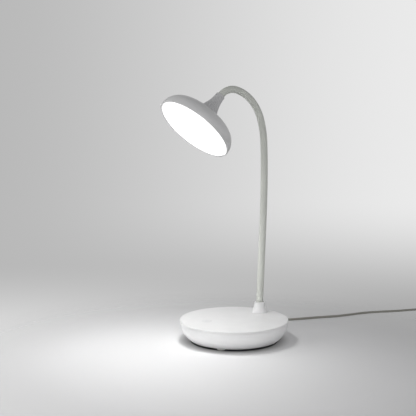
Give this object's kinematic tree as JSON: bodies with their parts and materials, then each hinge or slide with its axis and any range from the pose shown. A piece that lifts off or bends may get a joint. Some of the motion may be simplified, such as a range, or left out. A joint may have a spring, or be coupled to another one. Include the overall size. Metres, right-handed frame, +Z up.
{
  "type": "gooseneck desk lamp",
  "caption": "Desk lamp with a weighted round base, a flexible gooseneck in a soft sleeve, a fluted bell and a round shade with a flat diffuser over a lamp board.",
  "frame": {"origin": "centre of the base on the table", "axes": "+Z up; -Y towards the lamp's front, where the head hangs; the neck's foot is at the base's rear, on +Y"},
  "size_m": [0.2764, 0.4509, 0.3455],
  "materials": {
    "lid_white": "satin",
    "bowl_white": "satin",
    "underside_grey": "matte",
    "foot_rubber": "matte",
    "weight_steel": "matte",
    "screw_steel": "satin",
    "board_green": "satin",
    "board_black": "satin",
    "spring_steel": "satin",
    "lead_white": "satin",
    "cord_grey": "satin",
    "clamp_grey": "matte",
    "collar_white": "satin",
    "neck_silicone": "matte",
    "hose_steel": "satin",
    "bell_grey": "satin",
    "shade_white": "satin",
    "plate_aluminium": "satin",
    "lamp_yellow": "satin",
    "pan_white": "gloss",
    "diffuser_opal": "matte",
    "tie_grey": "matte",
    "plug_steel": "polished"
  },
  "bodies": {
    "base": {"base_lid": "lid_white", "base_bowl": "bowl_white", "base_plate": "underside_grey", "counterweight": "weight_steel", "weight_screws": "screw_steel", "base_screws": "screw_steel", "rubber_feet": "foot_rubber", "driver_board": "board_green", "driver_parts": "board_black", "board_screws": "screw_steel", "touch_spring": "spring_steel", "base_leads": "lead_white", "cord_clamp": "clamp_grey", "cord_boot": "cord_grey", "neck_collar": "collar_white", "neck_bush": "hose_steel", "neck_nut": "screw_steel", "cord": "cord_grey", "cord_coil": "cord_grey", "cord_tail": "cord_grey", "cord_tie": "tie_grey", "plug_body": "cord_grey", "plug_shell": "plug_steel", "plug_tongue": "board_black"},
    "neck_1": {"neck_sleeve_1": "neck_silicone", "neck_hose_1": "hose_steel", "neck_lead_1": "lead_white"},
    "neck_2": {"neck_sleeve_2": "neck_silicone", "neck_hose_2": "hose_steel", "neck_lead_2": "lead_white"},
    "neck_3": {"neck_sleeve_3": "neck_silicone", "neck_hose_3": "hose_steel", "neck_lead_3": "lead_white"},
    "neck_4": {"neck_sleeve_4": "neck_silicone", "neck_hose_4": "hose_steel", "neck_lead_4": "lead_white"},
    "neck_5": {"neck_sleeve_5": "neck_silicone", "neck_hose_5": "hose_steel", "neck_lead_5": "lead_white"},
    "neck_6": {"neck_sleeve_6": "neck_silicone", "neck_hose_6": "hose_steel", "neck_lead_6": "lead_white"},
    "neck_7": {"neck_sleeve_7": "neck_silicone", "neck_hose_7": "hose_steel", "neck_lead_7": "lead_white"},
    "neck_8": {"neck_sleeve_8": "neck_silicone", "neck_hose_8": "hose_steel", "neck_lead_8": "lead_white"},
    "head": {"head_bell": "bell_grey", "head_ferrule": "hose_steel", "head_nut": "screw_steel", "head_shade": "shade_white", "heat_plate": "plate_aluminium", "head_screws": "screw_steel", "led_board": "pan_white", "led_chips": "lamp_yellow", "head_lead": "lead_white", "reflector": "pan_white", "diffuser": "diffuser_opal", "diffuser_ring": "shade_white"}
  },
  "joints": [
    {"name": "neck_bend_1", "type": "hinge", "parent": "base", "child": "neck_1", "pos_m": [0, 0.055, 0.0445], "axis": [0.2162, 0.9753, -0.0454], "range_deg": [-20, 20]},
    {"name": "neck_bend_2", "type": "hinge", "parent": "neck_1", "child": "neck_2", "pos_m": [0.00053, 0.05739, 0.09844], "axis": [0.9763, -0.2164, 0], "range_deg": [-20, 20]},
    {"name": "neck_bend_3", "type": "hinge", "parent": "neck_2", "child": "neck_3", "pos_m": [0.00108, 0.05987, 0.15439], "axis": [0.2162, 0.9753, -0.0454], "range_deg": [-20, 20]},
    {"name": "neck_bend_4", "type": "hinge", "parent": "neck_3", "child": "neck_4", "pos_m": [0.00142, 0.0614, 0.21036], "axis": [0.9763, -0.2164, 0], "range_deg": [-20, 20]},
    {"name": "neck_bend_5", "type": "hinge", "parent": "neck_4", "child": "neck_5", "pos_m": [0.00123, 0.06057, 0.26435], "axis": [0.2162, 0.9754, 0.0419], "range_deg": [-25, 25]},
    {"name": "neck_bend_6", "type": "hinge", "parent": "neck_5", "child": "neck_6", "pos_m": [-0.00003, 0.05488, 0.29775], "axis": [0.9763, -0.2164, 0], "range_deg": [-30, 15]},
    {"name": "neck_bend_7", "type": "hinge", "parent": "neck_6", "child": "neck_7", "pos_m": [-0.0036, 0.03876, 0.32479], "axis": [0.9763, -0.2164, 0], "range_deg": [-30, 10]},
    {"name": "neck_bend_8", "type": "hinge", "parent": "neck_7", "child": "neck_8", "pos_m": [-0.00916, 0.01369, 0.33968], "axis": [0.9763, -0.2164, 0], "range_deg": [-30, 10]},
    {"name": "head_swing", "type": "hinge", "parent": "neck_8", "child": "head", "pos_m": [-0.01476, -0.01159, 0.33303], "axis": [-0.1514, -0.6831, 0.7145], "range_deg": [-25, 25]}
  ]
}
